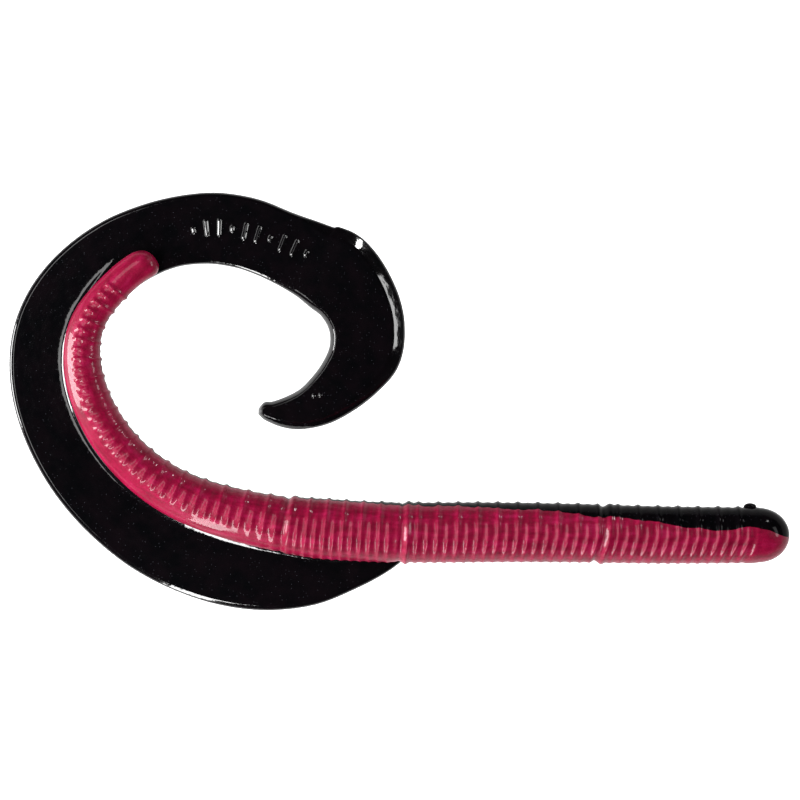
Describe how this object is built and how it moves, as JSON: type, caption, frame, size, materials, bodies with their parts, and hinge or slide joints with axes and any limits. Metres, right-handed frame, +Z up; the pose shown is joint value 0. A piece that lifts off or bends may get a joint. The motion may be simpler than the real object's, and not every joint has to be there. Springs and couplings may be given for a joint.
{
  "type": "soft plastic worm",
  "caption": "Two-colour soft plastic fishing worm with a ringed, tapering body that curls into a wide flat ribbon tail; it bends and flexes along its whole length.",
  "frame": {"origin": "the nose tip, on the axis of the straight front of the body, where the hook goes in", "axes": "+X out of the nose along the straight front, +Y towards the inside of the curl, +Z up from the side that it lies on"},
  "size_m": [0.1477, 0.0798, 0.0118],
  "materials": {
    "crimson_plastisol": "soft translucent gloss, slightly pearly",
    "black_plastisol": "soft wet gloss with a faint purple cast and fine specks"
  },
  "bodies": {
    "head": {"belly_01": "crimson_plastisol", "back_01": "black_plastisol", "vent_nub": "black_plastisol"},
    "link_02": {"belly_02": "crimson_plastisol", "back_02": "black_plastisol"},
    "link_03": {"belly_03": "crimson_plastisol", "back_03": "black_plastisol"},
    "link_04": {"belly_04": "crimson_plastisol", "back_04": "black_plastisol"},
    "link_05": {"belly_05": "crimson_plastisol", "back_05": "black_plastisol"},
    "link_06": {"belly_06": "crimson_plastisol", "back_06": "black_plastisol"},
    "link_07": {"belly_07": "crimson_plastisol", "back_07": "black_plastisol"},
    "link_08": {"belly_08": "crimson_plastisol", "back_08": "black_plastisol"},
    "link_09": {"belly_09": "crimson_plastisol", "back_09": "black_plastisol"},
    "link_10": {"belly_10": "crimson_plastisol", "back_10": "black_plastisol"},
    "link_11": {"belly_11": "crimson_plastisol", "back_11": "black_plastisol"},
    "link_12": {"belly_12": "crimson_plastisol", "back_12": "black_plastisol"},
    "link_13": {"belly_13": "crimson_plastisol", "back_13": "black_plastisol"},
    "link_14": {"belly_14": "crimson_plastisol", "back_14": "black_plastisol"},
    "link_15": {"belly_15": "crimson_plastisol", "back_15": "black_plastisol"},
    "ribbon_01": {"tail_01": "black_plastisol"},
    "ribbon_02": {"tail_02": "black_plastisol"},
    "ribbon_03": {"tail_03": "black_plastisol"},
    "ribbon_04": {"tail_04": "black_plastisol"},
    "ribbon_05": {"tail_05": "black_plastisol"},
    "ribbon_06": {"tail_06": "black_plastisol"},
    "ribbon_07": {"tail_07": "black_plastisol"},
    "ribbon_08": {"tail_08": "black_plastisol"}
  },
  "joints": [
    {"name": "front_sway", "type": "hinge", "parent": "head", "child": "link_02", "pos_m": [-0.014, 0, 0], "axis": [0, 0, 1], "range_deg": [-20, 20], "stiffness_Nm_per_rad": 0.0094},
    {"name": "front_arch", "type": "hinge", "parent": "link_02", "child": "link_03", "pos_m": [-0.026, 0, 0], "axis": [0, 1, 0], "range_deg": [-15, 15], "stiffness_Nm_per_rad": 0.0098},
    {"name": "front_sway_2", "type": "hinge", "parent": "link_03", "child": "link_04", "pos_m": [-0.038, 0, 0], "axis": [0, 0, 1], "range_deg": [-20, 20], "stiffness_Nm_per_rad": 0.01},
    {"name": "front_arch_2", "type": "hinge", "parent": "link_04", "child": "link_05", "pos_m": [-0.05, 0, 0], "axis": [0, 1, 0], "range_deg": [-15, 15], "stiffness_Nm_per_rad": 0.011},
    {"name": "front_sway_3", "type": "hinge", "parent": "link_05", "child": "link_06", "pos_m": [-0.062, 0, 0], "axis": [0, 0, 1], "range_deg": [-20, 20], "stiffness_Nm_per_rad": 0.011},
    {"name": "front_arch_3", "type": "hinge", "parent": "link_06", "child": "link_07", "pos_m": [-0.074, 0.00021, 0], "axis": [0.0349, 0.9994, 0], "range_deg": [-15, 15], "stiffness_Nm_per_rad": 0.012},
    {"name": "rear_sway_2", "type": "hinge", "parent": "link_07", "child": "link_08", "pos_m": [-0.08498, 0.00078, -0.00027], "axis": [-0.0244, 0.0009, 0.9997], "range_deg": [-1.6, 7.2], "stiffness_Nm_per_rad": 0.012},
    {"name": "rear_arch", "type": "hinge", "parent": "link_08", "child": "link_09", "pos_m": [-0.09589, 0.00213, -0.00054], "axis": [0.165, 0.9863, 0.0032], "range_deg": [-12, 12], "stiffness_Nm_per_rad": 0.0088},
    {"name": "rear_sway_3", "type": "hinge", "parent": "link_09", "child": "link_10", "pos_m": [-0.10665, 0.00441, -0.00099], "axis": [-0.0416, 0.0037, 0.9991], "range_deg": [-3.6, 16.2], "stiffness_Nm_per_rad": 0.0061},
    {"name": "rear_arch_2", "type": "hinge", "parent": "link_10", "child": "link_11", "pos_m": [-0.11697, 0.00817, -0.00144], "axis": [0.4692, 0.883, 0.0163], "range_deg": [-12, 12], "stiffness_Nm_per_rad": 0.0045},
    {"name": "rear_sway_4", "type": "hinge", "parent": "link_11", "child": "link_12", "pos_m": [-0.12587, 0.01464, -0.00174], "axis": [-0.0339, -0.0004, 0.9994], "range_deg": [-6.4, 28.8], "stiffness_Nm_per_rad": 0.0032},
    {"name": "rear_arch_3", "type": "hinge", "parent": "link_12", "child": "link_13", "pos_m": [-0.13257, 0.02459, -0.00196], "axis": [0.9299, 0.3665, 0.0317], "range_deg": [-12, 12], "stiffness_Nm_per_rad": 0.0024},
    {"name": "rear_sway", "type": "hinge", "parent": "link_13", "child": "link_14", "pos_m": [-0.13444, 0.03644, -0.00233], "axis": [-0.0435, 0.024, 0.9988], "range_deg": [-8, 36], "stiffness_Nm_per_rad": 0.0016},
    {"name": "rear_arch_4", "type": "hinge", "parent": "link_14", "child": "link_15", "pos_m": [-0.12917, 0.04722, -0.00236], "axis": [0.7921, -0.6085, 0.0491], "range_deg": [-12, 12], "stiffness_Nm_per_rad": 0.00082},
    {"name": "tail_flap", "type": "hinge", "parent": "link_15", "child": "ribbon_01", "pos_m": [-0.11854, 0.05628, -0.00464], "axis": [0.4678, -0.8821, 0.0546], "range_deg": [-15, 15], "stiffness_Nm_per_rad": 0.000048},
    {"name": "tail_curl_2", "type": "hinge", "parent": "ribbon_01", "child": "ribbon_02", "pos_m": [-0.10936, 0.05872, -0.00473], "axis": [-0.0058, 0.0587, 0.9983], "range_deg": [-6.4, 28.8], "stiffness_Nm_per_rad": 0.0046},
    {"name": "tail_flap_2", "type": "hinge", "parent": "ribbon_02", "child": "ribbon_03", "pos_m": [-0.10001, 0.05706, -0.00458], "axis": [-0.2774, -0.9592, 0.0548], "range_deg": [-15, 15], "stiffness_Nm_per_rad": 0.000074},
    {"name": "tail_curl_3", "type": "hinge", "parent": "ribbon_03", "child": "ribbon_04", "pos_m": [-0.09121, 0.05349, -0.00445], "axis": [0.0076, 0.0548, 0.9985], "range_deg": [-5.6, 25.2], "stiffness_Nm_per_rad": 0.0071},
    {"name": "tail_flap_3", "type": "hinge", "parent": "ribbon_04", "child": "ribbon_05", "pos_m": [-0.08353, 0.0479, -0.0042], "axis": [-0.7945, -0.606, 0.0393], "range_deg": [-15, 15], "stiffness_Nm_per_rad": 0.00037},
    {"name": "tail_curl", "type": "hinge", "parent": "ribbon_05", "child": "ribbon_06", "pos_m": [-0.08016, 0.03902, -0.00427], "axis": [0.0425, 0.0091, 0.9991], "range_deg": [-8, 36], "stiffness_Nm_per_rad": 0.01},
    {"name": "tail_flap_4", "type": "hinge", "parent": "ribbon_06", "child": "ribbon_07", "pos_m": [-0.0828, 0.02989, -0.00407], "axis": [-0.8266, 0.562, 0.0301], "range_deg": [-15, 15], "stiffness_Nm_per_rad": 0.00027},
    {"name": "tail_curl_4", "type": "hinge", "parent": "ribbon_07", "child": "ribbon_08", "pos_m": [-0.09032, 0.02408, -0.00436], "axis": [0.0013, -0.0515, 0.9987], "range_deg": [-7.2, 32.4], "stiffness_Nm_per_rad": 0.0019}
  ],
  "couplings": [
    {"joint": "front_sway_2", "follows": "front_sway", "ratio": 1},
    {"joint": "front_sway_3", "follows": "front_sway", "ratio": 1},
    {"joint": "front_arch_2", "follows": "front_arch", "ratio": 1},
    {"joint": "front_arch_3", "follows": "front_arch", "ratio": 1},
    {"joint": "rear_sway_2", "follows": "rear_sway", "ratio": 0.2},
    {"joint": "rear_sway_3", "follows": "rear_sway", "ratio": 0.45},
    {"joint": "rear_sway_4", "follows": "rear_sway", "ratio": 0.8},
    {"joint": "rear_arch_2", "follows": "rear_arch", "ratio": 1},
    {"joint": "rear_arch_3", "follows": "rear_arch", "ratio": 1},
    {"joint": "rear_arch_4", "follows": "rear_arch", "ratio": 1},
    {"joint": "tail_flap_2", "follows": "tail_flap", "ratio": 1},
    {"joint": "tail_flap_3", "follows": "tail_flap", "ratio": 1},
    {"joint": "tail_flap_4", "follows": "tail_flap", "ratio": 1},
    {"joint": "tail_curl_2", "follows": "tail_curl", "ratio": 0.8},
    {"joint": "tail_curl_3", "follows": "tail_curl", "ratio": 0.7},
    {"joint": "tail_curl_4", "follows": "tail_curl", "ratio": 0.9}
  ]
}
